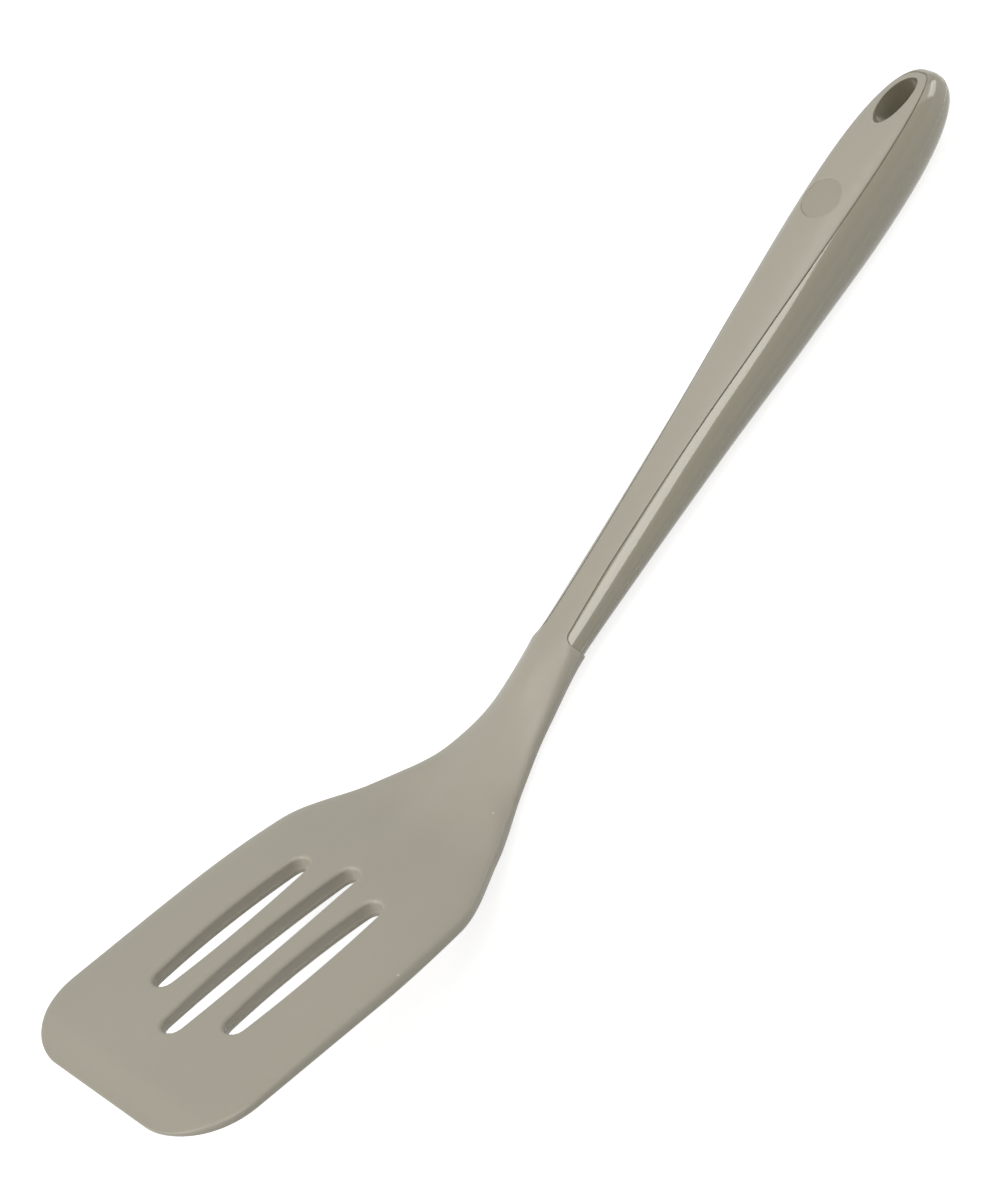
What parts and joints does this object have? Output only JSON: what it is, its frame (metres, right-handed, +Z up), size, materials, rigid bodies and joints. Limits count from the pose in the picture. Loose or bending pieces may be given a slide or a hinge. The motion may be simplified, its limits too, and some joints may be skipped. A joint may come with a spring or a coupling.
{
  "type": "slotted turner",
  "caption": "Flexible kitchen turner: slotted soft blade with a thin front lip, bent neck, and a glossy handle with soft grip panels and an oval hanging hole",
  "frame": {"origin": "middle of the footprint, on the worktop the tool lies on", "axes": "+X along the tool towards the tip of the handle, +Y to the tool's left, +Z up; the tool lies on the heel of its neck and the underside of its handle, with the blade tipped up"},
  "size_m": [0.3264, 0.0762, 0.0491],
  "materials": {
    "silicone": "matte warm grey silicone",
    "nylon": "glossy warm grey nylon"
  },
  "bodies": {
    "handle": {"handle_core": "nylon", "neck_sleeve": "silicone", "top_grip_panel": "silicone", "bottom_grip_panel": "silicone", "flex_skin": "silicone", "flex_tongue": "nylon"},
    "blade": {"blade_skin": "silicone", "blade_core": "nylon"}
  },
  "joints": [
    {"name": "blade_flex", "type": "hinge", "parent": "handle", "child": "blade", "pos_m": [-0.07593, 0, 0.0131], "axis": [0, 1, 0], "range_deg": [-25, 35], "stiffness_Nm_per_rad": 0.8, "deforming": ["flex_skin", "flex_tongue"]}
  ]
}
